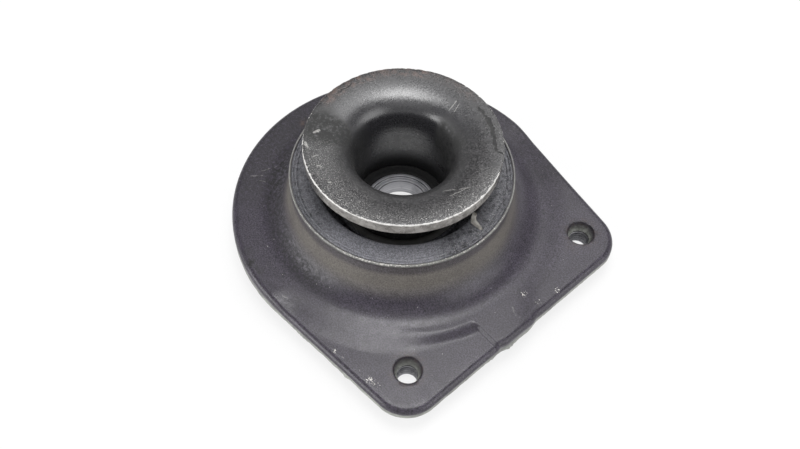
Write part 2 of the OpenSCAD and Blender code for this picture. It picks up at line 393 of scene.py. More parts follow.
def revolve(name, corners, n=192, seg=4, gap=0.8, shade=50):
    angle = np.arange(n) * TAU / n
    obj = loft(name, ring_rows(section(corners, seg, gap), angle))
    finish_mesh(obj, shade)
    return obj


def outline(count):
    """Points and outward directions of the taut band around the plate's three circles.

    The points are closer together at the bridge.
    """
    stretch = 400
    circles = [NEAR, FAR, BACK]
    tangents = []
    for a, b in zip(circles, circles[1:] + circles[:1]):
        dx, dy = b[0] - a[0], b[1] - a[1]
        tangents.append(math.atan2(dy, dx) - math.acos((a[2] - b[2]) / math.hypot(dx, dy)))
    xy, phi = [], []
    for k in range(3):
        b = circles[(k + 1) % 3]
        c = circles[(k + 2) % 3]
        start = tangents[k]
        turn = (tangents[(k + 1) % 3] - start) % TAU
        w = start + turn * np.linspace(0, 1, stretch)
        xy.append(np.stack([b[0] + b[2] * np.cos(w), b[1] + b[2] * np.sin(w)], 1))
        phi.append(w)
        t = np.linspace(0, 1, stretch + 2)[1:-1, None]
        n = np.array([math.cos(w[-1]), math.sin(w[-1])])
        p = np.array(b[:2]) + b[2] * n
        q = np.array(c[:2]) + c[2] * n
        xy.append(p + (q - p) * t)
        phi.append(np.full(stretch, w[-1]))
    xy, phi = np.concatenate(xy), np.unwrap(np.concatenate(phi))
    closed = np.concatenate([xy, xy[:1]])
    step = np.linalg.norm(np.diff(closed, axis=0), axis=1)
    front = (xy[:, 0] > 60) & (np.abs(xy[:, 1] + 7) < 18)
    weight = np.concatenate([[0], np.cumsum(step * np.where(front, 2.6, 1.0))])
    at = np.linspace(0, weight[-1], count, endpoint=False)
    phi = np.concatenate([phi, [phi[0] + TAU]])
    x = np.interp(at, weight, closed[:, 0])
    y = np.interp(at, weight, closed[:, 1])
    w = np.interp(at, weight, phi)
    return np.stack([x, y], 1), np.stack([np.cos(w), np.sin(w)], 1)


def raised(x, y):
    """1 on the raised ring, back and bridge of the plate, 0 on the sunken pads."""
    r = np.hypot(x, y)
    theta = np.arctan2(y, x)
    soft = 1.2 * sector(theta, *FAR_SOFT) + 0.8 * sector(theta, *NEAR_SOFT)
    ring = 1 - smooth(RING_R - 3.0 - 5.2 * soft, RING_R + 2.8 + 4.2 * soft, r)
    back = 1 - smooth(BACK_END - 9.0, BACK_END + 6.0, x)
    far_line = BRIDGE_FAR_Y - BRIDGE_SLANT * (x - BRIDGE_X)
    near_side = smooth(BRIDGE_NEAR_Y - 0.8, BRIDGE_NEAR_Y + 0.8, y)
    far_side = 1 - smooth(-6.0, 12.0, y - far_line)
    bridge = near_side * far_side * smooth(BRIDGE_X - 10.0, BRIDGE_X - 2.0, x)
    return 1 - (1 - ring) * (1 - back) * (1 - bridge)


def plate_height(x, y):
    return PAD_H + (RING_H - PAD_H) * raised(x, y)


def at_height(xy, z):
    return np.column_stack([xy, np.broadcast_to(z, len(xy))])


def on_plate(xy):
    return at_height(xy, plate_height(xy[:, 0], xy[:, 1]))


def between(a, b, count):
    """Values from a to b in count steps, without a itself."""
    return [a + (b - a) * k / count for k in range(1, count + 1)]


def edge_rows(p, n, top):
    """The plate's edge from its underside to the rounded rim, with flash left along its foot."""
    angle = np.arctan2(p[:, 1], p[:, 0])
    rough = wave(angle, 20, 90, 9)
    fine = wave(angle, 90, 260, 9)
    flash = 0.05 * rough + 0.035 * fine
    for x, y, width, size in EDGE_LUMPS:
        away = np.hypot(p[:, 0] - x, p[:, 1] - y)
        flash += size * (1 - smooth(0.4 * width, 1.6 * width, away)) * (0.7 + 0.3 * fine)
    rows = [at_height(p + n * (out + share * flash)[:, None], z) for out, share, z in EDGE_PROFILE]
    for k in range(9):
        a = math.pi / 2 * k / 8
        rows.append(at_height(p - n * (RIM * (1 - math.cos(a))), top - RIM + RIM * math.sin(a)))
    return rows


def build_flange():
    """Plate, fillet, bell and lip as one lofted body, then the bolt holes."""
    p, n = outline(760)
    front = smooth(58, 66, p[:, 0])
    bulge = smooth(-15, -11, p[:, 1]) * (1 - smooth(2, 7, p[:, 1])) * front
    p = p + n * (BRIDGE_BULGE * bulge)[:, None]
    q = p - n * RIM
    alpha = np.arctan2(q[:, 1], q[:, 0])
    u = np.stack([np.cos(alpha), np.sin(alpha)], 1)

    rows = [at_height(u * r, 0.0) for r in (CAVITY_R + 0.6, 52, UNDER_R)]
    for t in (0.35, 0.8):
        rows.append(at_height(u * UNDER_R * (1 - t) + (p - n * 1.2) * t, 0.0))
    rows += edge_rows(p, n, plate_height(q[:, 0], q[:, 1]))

    tilt = math.atan2(FOOT_R - NECK_R, NECK_Z - FOOT_Z)
    fillet_z = RING_H + FILLET
    fillet_r = FOOT_R + (FILLET - (fillet_z - FOOT_Z) * math.sin(tilt)) / math.cos(tilt)
    rim_r = np.hypot(q[:, 0], q[:, 1])
    outer = np.minimum(RING_R + STEP_BAND, rim_r - 0.25 * (rim_r - fillet_r))
    inner = np.minimum(RING_R - STEP_BAND, rim_r - 0.70 * (rim_r - fillet_r))
    radii = between(rim_r, outer, 12) + between(outer, inner, 18) + between(inner, fillet_r, 4)[:-1]
    rows += [on_plate(u * r[:, None]) for r in radii]
    for k in range(25):
        a = math.pi * 1.5 - (math.pi / 2 - tilt) * k / 24
        xy = u * (fillet_r + FILLET * math.cos(a))
        sunk = plate_height(xy[:, 0], xy[:, 1]) - RING_H
        rows.append(at_height(xy, fillet_z + FILLET * math.sin(a) + sunk))

    foot = (fillet_r - FILLET * math.cos(tilt), fillet_z - FILLET * math.sin(tilt))
    for k in range(1, 10):
        t = k / 10
        r = foot[0] + (NECK_R - foot[0]) * t
        rows.append(at_height(u * r, foot[1] + (NECK_Z - foot[1]) * t))
    lip = [(NECK_R, NECK_Z), (NECK_R + 0.1, NECK_Z + 0.35), (LIP_R - 0.25, LIP_BASE_Z - 0.15),
           (LIP_R, LIP_BASE_Z + 0.25), (LIP_R, LIP_Z - 0.5), (LIP_R - 0.1, LIP_Z - 0.15),
           (LIP_R - 0.3, LIP_Z), (LIP_INNER_R + 0.25, LIP_Z), (LIP_INNER_R + 0.05, LIP_Z - 0.12),
           (LIP_INNER_R, LIP_Z - 0.4), (LIP_INNER_R, LIP_FLOOR_Z), (INNER_NECK_R, NECK_Z),
           (44.5, 19.0), (CAVITY_R, SKIRT_Z), (CAVITY_R, 5.0), (CAVITY_R, 0.6)]
    lip_rough = wave(alpha, 8, 70, 10)
    for r, z in lip:
        worn = 0.05 * lip_rough if z > LIP_BASE_Z else 0.0
        rows.append(at_height(u * r, z + worn))
    obj = loft("flange_housing_skin", rows)
    cut_bolt_holes(obj)
    finish_mesh(obj, 38)
    return obj


def thread_wall(top, low):
    """Section of a tapped bore from top to low: one ridge and one root for each pitch."""
    wall = []
    z = top
    while z - THREAD > low:
        wall += [(TAP_R, z), (TAP_R, z - 0.15 * THREAD), (TAP_R + THREAD_DEPTH, z - 0.55 * THREAD)]
        z -= THREAD
    return wall + [(TAP_R, z), (TAP_R, low)]


def cut_bolt_holes(obj):
    """Dimples with a rolled edge, each open to the tapped bore below it, cut by one cutter each."""
    foot = PAD_H - DIMPLE_DEPTH
    wall = [(DIMPLE_R + 0.2, PAD_H + 1.0), (DIMPLE_R - 0.1, PAD_H + 0.03), (DIMPLE_R - 0.3, PAD_H - 0.08),
            (DIMPLE_R - 0.45, PAD_H - 0.3), (DIMPLE_R - 0.6, PAD_H - 0.7),
            (TAP_R + 0.45, foot + 0.5), (TAP_R + 0.1, foot + 0.1)] + thread_wall(foot, -1.0)
    angle = np.arange(64) * TAU / 64
    for sign in (-1, 1):
        centre = np.array([BOLT_X, sign * BOLT_Y, 0.0])
        cutter = capped_loft("cutter", [ring + centre for ring in ring_rows(wall, angle)])
        turn_faces_out(cutter.data)
        cut = obj.modifiers.new("hole", "BOOLEAN")
        cut.operation = "DIFFERENCE"
        cut.solver = "EXACT"
        cut.object = cutter
        bpy.context.view_layer.update()
        done = bpy.data.meshes.new_from_object(obj.evaluated_get(bpy.context.evaluated_depsgraph_get()))
        obj.modifiers.clear()
        obj.data = done
        bpy.data.objects.remove(cutter)


def build_nut(name, sign):
    """Hexagonal weld nut under a pad, its foot chamfered, with a tapped bore."""
    n = 96
    angle = (np.arange(n) + 0.5) * TAU / n
    hexagon = NUT_W / 2 / np.cos(angle % (TAU / 6) - TAU / 12)
    slope = np.maximum(hexagon - NUT_W / 2, 0) * math.tan(math.radians(NUT_CHAMFER))
    outer = [(TAP_R + 0.15, -NUT_H), (NUT_W / 2 - 1.5, -NUT_H), (NUT_W / 2 - 0.2, -NUT_H),
             (hexagon - 0.05, -NUT_H + slope + 0.12), (hexagon, -NUT_H + slope + 0.4)]
    outer += [(hexagon, z) for z in (-5.0, -4.0, -3.0, -2.0, -1.0, -0.3)]
    outer += [(hexagon - 0.1, 0.0), (NUT_W / 2 - 1.0, 0.0), (TAP_R + THREAD_DEPTH, 0.0)]
    rows = []
    for r, z in outer + thread_wall(-0.3, -NUT_H + 0.2):
        x = BOLT_X + r * np.cos(angle)
        y = sign * BOLT_Y + r * np.sin(angle)
        rows.append(np.stack([x, y, np.broadcast_to(z, n)], 1))
    obj = loft(name, rows)
    finish_mesh(obj, 30)
    return obj


def dish_top():
    """Points (r, z) of the dish's upper face, from the rim to the head of the throat."""
    r = np.linspace(RIM_R, HEAD_R, 61)
    x = (RIM_R - r) / (RIM_R - HEAD_R)
    sine = 0.04 + 0.24 * x + 0.68 * x ** 3.4
    slope = sine / np.sqrt(1 - sine ** 2)
    fall = np.concatenate([[0], np.cumsum((slope[1:] + slope[:-1]) / 2 * -np.diff(r))])
    return list(zip(r, DISH_Z - fall))


def build_dish():
    """Trumpet: its slope grows slowly from the rim and fast near the throat; the cut edge is chipped."""
    top = dish_top()
    head_z = top[-1][1]
    throat_z = head_z - HEAD_DROP
    upper = [(r, z, 0) for r, z in top]
    for t in (0.25, 0.5, 0.75):
        upper.append((THROAT_R + (HEAD_R - THROAT_R) * (1 - t) ** 2, head_z - HEAD_DROP * t, 0))
    centre = (THROAT_R + FLARE_R, DISH_Z - FLARE_R)
    inner = FLARE_R - (TUBE_R - THROAT_R)
    under = []
    for k in range(19, 2, -1):
        a = math.pi / 2 + math.pi / 2 * k / 20
        under.append((centre[0] + inner * math.cos(a), centre[1] + inner * math.sin(a), 0))
    edge_z = DISH_Z - EDGE_H
    corners = [(TUBE_R, BEARING_TOP, 0.4), (TUBE_R, centre[1], 0)] + under
    corners += [(centre[0] - 0.6, edge_z + 0.4, 0.6), (centre[0] + 0.8, edge_z, 0.4),
                (DISH_R, edge_z, 0.35), (DISH_R, DISH_Z, 0.45)]
    corners += upper + [(THROAT_R, throat_z, 0), (THROAT_R, throat_z - 1.8, 0),
                        (THROAT_R + 0.12, throat_z - 2.2, 0), (THROAT_R + 0.12, BEARING_TOP, 0.3)]
    n = 300
    angle = np.arange(n) * TAU / n
    chips = np.clip(wave(angle, 12, 120, 14) - 0.35, 0, 2) * 0.16
    chips += np.clip(wave(angle, 60, 170, 14) - 0.6, 0, 2) * 0.12
    rows = []
    for r, z in section(corners, 5, 0.6):
        edge = bell_curve(r - DISH_R, 0.7) * bell_curve(z - DISH_Z, 0.7)
        rr = r - edge * chips
        zz = z - edge * chips * 0.7
        rows.append(np.stack([rr * np.cos(angle), rr * np.sin(angle), zz], 1))
    obj = loft("stop_dish_skin", rows)
    finish_mesh(obj, 40)
    return obj


def build_rubber():
    """Moulded ring with two fine ridges on its face and a deep groove under the dish."""
    groove = []
    for k in range(13):
        a = -math.pi * k / 12
        groove.append((GROOVE_R + GROOVE_HALF * math.cos(a), GROOVE_Z + GROOVE_HALF * math.sin(a), 0))
    ridges = []
    for centre in RIDGES:
        for k in range(7):
            a = math.pi * k / 6
            ridges.append((centre + RIDGE_HALF * math.cos(a), FACE_Z + RIDGE_HALF * math.sin(a), 0))
    wall_r = LIP_INNER_R - 0.05
    corners = [(RUBBER_IN_R, 3.0, 0.5), (32.5, 4.0, 2.0), (39.5, SKIRT_Z, 2.0),
               (CAVITY_R - 0.1, SKIRT_Z, 0.5), (INNER_NECK_R - 0.05, NECK_Z, 0),
               (wall_r, LIP_FLOOR_Z, 0), (wall_r, FACE_Z, 0)]
    corners += ridges + [(35.6, FACE_Z, 1.6)] + groove
    corners += [(GROOVE_R - GROOVE_HALF, 15.2, 0.3), (RUBBER_IN_R, 15.2, 0)]
    return revolve("rubber_element_skin", corners, 256, 5, 0.8, 60)


def build_fin():
    """The small upright fin left by moulding on the rubber face, narrower and a little bent above."""
    angle = math.radians(FIN_ANGLE)
    radial = np.array([math.cos(angle), math.sin(angle), 0])
    side = np.array([-math.sin(angle), math.cos(angle), 0])
    rows = []
    for k in range(15):
        t = k / 14
        z = FACE_Z - FIN_SUNK + FIN_H * t
        half = (FIN_FOOT * (1 - smooth(0.05, 0.6, t)) + FIN_TOP) / 2
        thick = FIN_THICK * (1 - 0.2 * t)
        ring = []
        for j in range(20):
            cx, cy = math.cos(TAU * j / 20), math.sin(TAU * j / 20)
            x = FIN_R + half + half * math.copysign(abs(cx) ** FIN_CORNER, cx)
            y = thick * math.copysign(abs(cy) ** FIN_CORNER, cy)
            y += FIN_LEAN * t * t + 0.05 * math.sin(5 * t + 0.4 * x)
            ring.append(radial * x + side * y + np.array([0, 0, z]))
        rows.append(np.array(ring))
    obj = capped_loft("rubber_fin", rows)
    finish_mesh(obj, 50)
    return obj


def build_inner_ring():
    """Inner race with a groove for the balls outside and a fine one in its upper face."""
    land, shoulder = INNER_LAND_R, INNER_SHOULDER_R
    groove_in, groove_out = FACE_GROOVE
    ball_groove = [(shoulder, 3.0, 0), (15.75, 4.1, 0.3), (15.6, BALL_Z, 0.4),
                   (15.75, 6.2, 0.3), (shoulder, 7.3, 0)]
    face_groove = [(groove_out, BEARING_TOP, 0.15), (groove_out - 0.1, FACE_GROOVE_Z, 0.08),
                   (groove_in + 0.1, FACE_GROOVE_Z, 0.08), (groove_in, BEARING_TOP, 0.15)]
    corners = [(BORE_R + 0.6, BEARING_LOW, 0.1), (land, BEARING_LOW, 0.1),
               (land, 1.8, 0.1), (shoulder, 1.8, 0.2)] + ball_groove
    corners += [(shoulder, 8.5, 0.2), (land, 8.5, 0.1), (land, BEARING_TOP, 0.15)] + face_groove
    corners += [(BORE_R + 0.4, BEARING_TOP, 0.2), (BORE_R, 9.0, 0.2), (BORE_R, 1.5, 0.1)]
    return revolve("bearing_inner_ring_skin", corners, gap=0.6)


def build_outer_ring():
    """Outer race with a groove for the balls inside and a seat for each seal."""
    top, seat, shoulder = BEARING_TOP - 0.1, SEAL_SEAT_R, OUTER_SHOULDER_R
    ball_groove = [(shoulder, 7.3, 0), (20.35, 6.2, 0.3), (20.45, BALL_Z, 0.4),
                   (20.35, 4.1, 0.3), (shoulder, 3.0, 0)]
    corners = [(seat, BEARING_LOW, 0.12), (BEARING_R, BEARING_LOW, 0.35),
               (BEARING_R, top, 0.35), (seat, top, 0.12)]
    corners += [(seat, 8.7, 0), (shoulder, 8.7, 0.15)] + ball_groove
    corners += [(shoulder, 1.6, 0.15), (seat, 1.6, 0)]
    return revolve("bearing_outer_ring_skin", corners)


def build_cup():
    """Plain steel sleeve around the bearing, which ends level with the feet of the nuts."""
    corners = [(CUP_IN_R, -NUT_H, 0.5), (CUP_R, -NUT_H, 0.8),
               (CUP_R, CUP_TOP, 0.3), (CUP_IN_R, CUP_TOP, 0.3)]
    return revolve("bearing_cup_skin", corners, seg=5)


def build_seals():
    """Upper seal, and the lower one as its mirror image about the balls."""
    upper = [(15.2, 8.7, 0.1), (20.5, 8.7, 0.1), (20.5, 9.3, 0.15), (19.4, 9.3, 0.2), (18.8, 9.14, 0.2),
             (17.2, 9.14, 0.2), (16.6, 9.3, 0.2), (15.6, 9.3, 0.15), (15.2, 9.0, 0.1)]
    lower = [(r, 2 * BALL_Z - z, corner) for r, z, corner in reversed(upper)]
    return [revolve("bearing_seal_upper_skin", upper, gap=0.5),
            revolve("bearing_seal_lower_skin", lower, gap=0.5)]


class Graph:
    """Small helper that writes one procedural material."""

    def __init__(self, name):
        self.mat = bpy.data.materials.new(name)
        self.mat.use_nodes = True
        self.tree = self.mat.node_tree
        self.tree.nodes.clear()
        self.out = self.tree.nodes.new("ShaderNodeOutputMaterial")
        self.bsdf = self.tree.nodes.new("ShaderNodeBsdfPrincipled")
        self.tree.links.new(self.bsdf.outputs[0], self.out.inputs[0])
        self.co = self.tree.nodes.new("ShaderNodeTexCoord").outputs["Object"]

    def fill(self, socket, value):
        """Link a socket's value, or write a constant into it."""
        if isinstance(value, bpy.types.NodeSocket):
            self.tree.links.new(value, socket)
        else:
            socket.default_value = value

    def node(self, kind, ins=(), **props):
        n = self.tree.nodes.new(kind)
        for key, value in props.items():
            setattr(n, key, value)
        for key, value in dict(ins).items():
            self.fill(n.inputs[key], value)
        return n

    def noise(self, scale, detail=3.0, rough=0.55, co=None):
        ins = {"Vector": co or self.co, "Scale": scale, "Detail": detail, "Roughness": rough}
        return self.node("ShaderNodeTexNoise", ins).outputs["Fac"]

    def math(self, op, a, b=0.0, clamp=False):
        return self.node("ShaderNodeMath", {0: a, 1: b}, operation=op, use_clamp=clamp).outputs[0]

    def vector(self, op, ins):
        return self.node("ShaderNodeVectorMath", ins, operation=op).outputs

    def span(self, value, a, b, c=0.0, d=1.0):
        """Soft rise from c to d as the value goes from a to b."""
        ins = {"Value": value, "From Min": a, "From Max": b, "To Min": c, "To Max": d}
        n = self.node("ShaderNodeMapRange", ins, clamp=True, interpolation_type="SMOOTHSTEP")
        return n.outputs[0]

    def mask(self, name):
        n = self.node("ShaderNodeAttribute", attribute_name=name, attribute_type="GEOMETRY")
        return n.outputs["Fac"]

    def mix(self, factor, a, b):
        n = self.node("ShaderNodeMix", data_type="RGBA")
        self.fill(n.inputs[0], factor)
        for index, value in ((6, a), (7, b)):
            self.fill(n.inputs[index], (*value, 1.0) if isinstance(value, tuple) else value)
        return n.outputs[2]

    def cover(self, amount, noise, gain, soft, level):
        """A ragged mask that covers more as amount grows."""
        total = self.math("ADD", noise, self.math("MULTIPLY", amount, gain))
        return self.span(total, level, level + soft)

    def shifted(self, scale, size):
        """Coordinates pushed about by noise, for lines that aren't straight."""
        n = self.node("ShaderNodeTexNoise", {"Vector": self.co, "Scale": scale, "Detail": 2.0})
        off = self.vector("SUBTRACT", {0: n.outputs["Color"], 1: (0.5, 0.5, 0.5)})[0]
        off = self.vector("SCALE", {0: off, "Scale": size})[0]
        return self.vector("ADD", {0: self.co, 1: off})[0]

    def flattened(self, co):
        return self.vector("MULTIPLY", {0: co, 1: (1.0, 1.0, 0.0)})[0]

    def streak(self, co, a, b, width, soft):
        """1 near the straight line from a to b, given in millimetres."""
        a, b = Vector(a) * MM, Vector(b) * MM
        d = b - a
        rel = self.vector("SUBTRACT", {0: co, 1: a})[0]
        t = self.vector("DOT_PRODUCT", {0: rel, 1: d / d.length_squared})["Value"]
        t = self.math("ADD", t, 0.0, clamp=True)
        on = self.vector("SCALE", {0: tuple(d), "Scale": t})[0]
        gap = self.vector("DISTANCE", {0: rel, 1: on})["Value"]
        return self.span(gap, width * MM, (width + soft) * MM, 1.0, 0.0)

    def streaks(self, co, lines):
        total = self.streak(co, *lines[0])
        for line in lines[1:]:
            total = self.math("MAXIMUM", total, self.streak(co, *line))
        return total

    def bump(self, height, distance, strength=1.0, normal=None):
        ins = {"Height": height, "Distance": distance, "Strength": strength}
        if normal is not None:
            ins["Normal"] = normal
        return self.node("ShaderNodeBump", ins).outputs[0]

    def set(self, **values):
        for key, value in values.items():
            self.fill(self.bsdf.inputs[key.replace("_", " ")], value)
        return self.mat


def paint_material():
    g = Graph("satin_dark_paint")
    speck = g.noise(1800, 3.0, 0.65)
    blotch = g.noise(45, 4.0, 0.6)
    base = g.mix(g.span(speck, 0.30, 0.72), PAINT_DARK, PAINT_LIGHT)
    base = g.mix(g.span(blotch, 0.35, 0.68, 0.0, 0.35), base, PAINT_BLOTCH)
    # The bell's flank is lighter and warmer: partly its finish, partly painted reflected light
    warm_sheen = g.mix(g.span(speck, 0.30, 0.70), WARM_SHEEN_DARK, WARM_SHEEN_LIGHT)
    tone = g.math("MULTIPLY", g.mask("tone"), g.span(blotch, 0.25, 0.6, 0.7, 1.0))
    base = g.mix(tone, base, warm_sheen)
    # Painted reflection on the plate's foot and painted highlight on the lip's top edge
    pale = g.math("MULTIPLY", g.mask("wall"), g.span(g.noise(160, 4.0, 0.6), 0.3, 0.65, 0.5, 1.0))
    base = g.mix(pale, base, PAINTED_EDGE_REFLECTION)
    # Stains, and painted shade
    dirt_and_shade = g.math("MULTIPLY", g.mask("dirt_and_shade"), g.span(g.noise(700, 4.0, 0.7), 0.34, 0.62))
    base = g.mix(dirt_and_shade, base, GRIME_AND_SHADE)
    rust = g.math("MULTIPLY", g.mask("rust"), g.span(g.noise(650, 4.0, 0.7), 0.42, 0.66))
    base = g.mix(rust, base, PAINT_RUST)
    wear_and_glints = g.cover(g.mask("wear_and_glints"), g.noise(1500, 3.0, 0.6), 0.30, 0.05, 0.80)
    base = g.mix(wear_and_glints, base, PAINT_CHIP)
    dust = g.span(g.noise(1000, 1.0, 0.4), 0.80, 0.82)
    base = g.mix(g.math("MULTIPLY", dust, 0.6), base, DUST_AND_SHEEN)
    scratches = g.streaks(g.shifted(260, 0.0022), PLATE_SCRATCHES)
    base = g.mix(g.math("MULTIPLY", scratches, 0.35), base, PAINT_SCRATCH)
    rough = g.span(g.noise(260, 4.0, 0.6), 0.3, 0.7, 0.31, 0.38)
    rough = g.math("ADD", rough, g.math("MULTIPLY", dirt_and_shade, 0.3))
    fine = g.bump(speck, 0.00005, 0.7)
    wavy = g.bump(g.noise(130, 3.0, 0.5), 0.00018, 0.3, fine)
    return g.set(Base_Color=base, Roughness=rough, Normal=wavy, Specular_IOR_Level=0.55)


def dish_material():
    g = Graph("worn_dark_steel")
    speck = g.noise(1400, 4.0, 0.7)
    blotch = g.noise(60, 4.0, 0.6)
    base = g.mix(g.span(speck, 0.42, 0.68), DISH_DARK, DISH_LIGHT)
    base = g.mix(g.span(blotch, 0.38, 0.66, 0.0, 0.4), base, DISH_BLOTCH)
    clean = g.mix(g.span(speck, 0.3, 0.7), DISH_CLEAN_DARK, DISH_CLEAN_LIGHT)
    base = g.mix(g.mask("tone"), base, clean)
    # The dark patch on the left, and painted shade in the throat and under the dish
    dirt_and_shade = g.math("MULTIPLY", g.mask("dirt_and_shade"), g.span(g.noise(650, 5.0, 0.72), 0.28, 0.52))
    base = g.mix(dirt_and_shade, base, GRIME_AND_SHADE)
    rust = g.math("MULTIPLY", g.mask("rust"), g.span(g.noise(420, 4.0, 0.7), 0.38, 0.66))
    base = g.mix(rust, base, DISH_RUST)
    crack = g.streaks(g.flattened(g.shifted(480, 0.0020)), DISH_CRACK)
    crack = g.math("MULTIPLY", crack, g.span(g.noise(420, 3.0, 0.7), 0.28, 0.46))
    base = g.mix(crack, base, DISH_CRACK_COLOUR)
    # Light flecks, and painted sheen on the left of the flare
    grains_and_sheen = g.math("MULTIPLY", g.mask("grains_and_sheen"), g.span(g.noise(2500, 2.0, 0.5), 0.55, 0.68))
    base = g.mix(grains_and_sheen, base, DUST_AND_SHEEN)
    wear_and_glints = g.cover(g.mask("wear_and_glints"), g.noise(1900, 3.0, 0.65), 0.34, 0.06, 0.80)
    base = g.mix(wear_and_glints, base, DISH_CHIP)
    scratches = g.streaks(g.flattened(g.shifted(300, 0.0016)), DISH_SCRATCHES)
    base = g.mix(g.math("MULTIPLY", scratches, 0.55), base, DISH_SCRATCH)
    bare = g.math("MULTIPLY", g.mask("bare"), g.span(g.noise(520, 3.0, 0.6), 0.25, 0.42, 0.72, 1.0))
    cut = g.mix(g.span(g.noise(260, 4.0, 0.6), 0.35, 0.7), CUT_DARK, CUT_LIGHT)
    base = g.mix(bare, base, cut)
    bright = g.cover(g.mask("edge"), g.noise(700, 3.0, 0.6), 0.50, 0.08, 0.74)
    base = g.mix(bright, base, EDGE_BRIGHT)
    rough = g.span(g.noise(300, 4.0, 0.6), 0.3, 0.7, 0.23, 0.30)
    rough = g.math("ADD", rough, g.math("MULTIPLY", g.math("MAXIMUM", dirt_and_shade, crack), 0.5))
    fine = g.bump(g.math("SUBTRACT", speck, g.math("MULTIPLY", crack, 4.0)), 0.00007, 0.8)
    pits = g.bump(g.noise(420, 4.0, 0.6), 0.00012, 0.35, fine)
    return g.set(Base_Color=base, Roughness=rough, Normal=pits, Specular_IOR_Level=1.0)


def rubber_material():
    g = Graph("moulded_rubber")
    speck = g.noise(2200, 3.0, 0.7)
    base = g.mix(g.span(speck, 0.36, 0.70), RUBBER_DARK, RUBBER_LIGHT)
    # Painted shade
    dark = g.math("MULTIPLY", g.mask("dirt_and_shade"), g.span(g.noise(700, 3.0, 0.65), 0.30, 0.58, 1.0, 0.45))
    base = g.mix(dark, base, RUBBER_SHADE)
    # Painted glints
    sparkle = g.math("MULTIPLY", g.mask("wear_and_glints"), g.span(g.noise(1900, 2.0, 0.6), 0.56, 0.70))
    base = g.mix(sparkle, base, RUBBER_SPARKLE)
    rough = g.span(g.noise(500, 3.0, 0.6), 0.3, 0.7, 0.40, 0.58)
    fine = g.bump(speck, 0.00007, 0.7)
    return g.set(Base_Color=base, Roughness=rough, Normal=fine, Specular_IOR_Level=0.4)


def fin_material():
    g = Graph("pale_flash")
    grain = g.noise(700, 3.0, 0.6)
    base = g.mix(g.span(grain, 0.3, 0.7), FIN_DARK, FIN_LIGHT)
    rough = g.span(grain, 0.3, 0.7, 0.5, 0.7)
    return g.set(Base_Color=base, Roughness=rough, Normal=g.bump(grain, 0.0001, 0.5))


def seal_material():
    g = Graph("bearing_seal_rubber")
    grain = g.noise(900, 3.0, 0.6)
    base = g.mix(g.span(grain, 0.3, 0.7), SEAL_DARK, SEAL_LIGHT)
    rough = g.span(grain, 0.3, 0.7, 0.55, 0.7)
    fine = g.bump(grain, 0.00005, 0.4)
    return g.set(Base_Color=base, Roughness=rough, Normal=fine, Specular_IOR_Level=0.25)


def steel_material(name, low, high, rough_low, rough_high, rings):
    """Turned steel: fine rings around the axis, with smears of grease and dust."""
    g = Graph(name)
    radius = g.vector("LENGTH", {0: g.flattened(g.co)})["Value"]
    height = g.node("ShaderNodeSeparateXYZ", {0: g.co}).outputs["Z"]
    line = g.node("ShaderNodeCombineXYZ", {0: radius, 1: height}).outputs[0]
    turned = g.noise(rings, 2.0, 0.7, line)
    smear = g.noise(120, 4.0, 0.6)
    base = g.mix(g.span(turned, 0.3, 0.7), low, high)
    base = g.mix(g.span(smear, 0.45, 0.75, 0.0, 0.6), base, tuple(0.55 * c for c in low))
    rough = g.span(turned, 0.3, 0.7, rough_low, rough_high)
    rough = g.math("ADD", rough, g.span(smear, 0.4, 0.75, 0.0, 0.15))
    return g.set(Base_Color=base, Metallic=1.0, Roughness=rough, Normal=g.bump(turned, 0.00003, 0.4))


def mask_flange(obj):
    """Where the paint is warmer, dirty, rusty or chipped, and where reflected light, highlights and shade
    are painted on it.
    """
    co, r, theta, z = points_of(obj)
    # Lighter, warmer bell flank, partly its finish and partly painted reflected light; less of it just
    # below the lip
    warm_sheen = (1 - smooth(50.5, 54.5, r)) * smooth(11.0, 19.0, z) * (1 - 0.65 * smooth(23.5, 25.5, z))
    set_mask(obj, "tone", warm_sheen)
    # Paler foot of the plate's edge, a painted reflection of the white table, and a paler top edge of the
    # lip, a painted highlight
    lip_top = (z > 30.9) * smooth(45.6, 46.0, r)
    plate_foot = (r > 58) * (z > 0.05) * (1 - smooth(1.9, 3.4, z))
    set_mask(obj, "wall", plate_foot + 0.6 * lip_top)

    hole_gap = np.hypot(co[:, 0] - BOLT_X, np.abs(co[:, 1]) - BOLT_Y)
    in_dimple = hole_gap < DIMPLE_R
    # Dark stains, and painted shade: on the bell's front foot, on the far back of the plate, in the
    # fillet on the left, and round and in the dimples; the plate is also darker at the far right
    dirt_and_shade = spots(co, PLATE_DIRT_AND_SHADE)
    dirt_and_shade += 0.45 * sector(theta, 66, 100, 12) * smooth(56, 64, r)
    dirt_and_shade += 0.7 * sector(theta, 125, 215, 25) * smooth(50, 60, r) * smooth(4.5, 6.5, z)
    dirt_and_shade += 0.8 * sector(theta, -150, -85, 20) * smooth(48.5, 51.0, r) * (1 - smooth(55.0, 60.0, r))
    dirt_and_shade += 0.5 * bell_curve(hole_gap - DIMPLE_R + 0.3, 0.3)
    dirt_and_shade += in_dimple * (0.2 + 0.25 * (co[:, 1] > 0))
    set_mask(obj, "dirt_and_shade", dirt_and_shade)

    around_hole = (1 - smooth(6.8, 9.0, hole_gap)) * (z > 2)
    set_mask(obj, "rust", 0.35 * around_hole + spots(co, PLATE_RUST))
    lip_wear = 0.5 + 0.5 * sector(theta, -66, -58, 5) + 0.5 * sector(theta, -50, -42, 5)
    lip_wear += 0.25 * sector(theta, -100, 20, 20)
    set_mask(obj, "wear_and_glints", spots(co, PLATE_CHIPS) + lip_top * lip_wear)


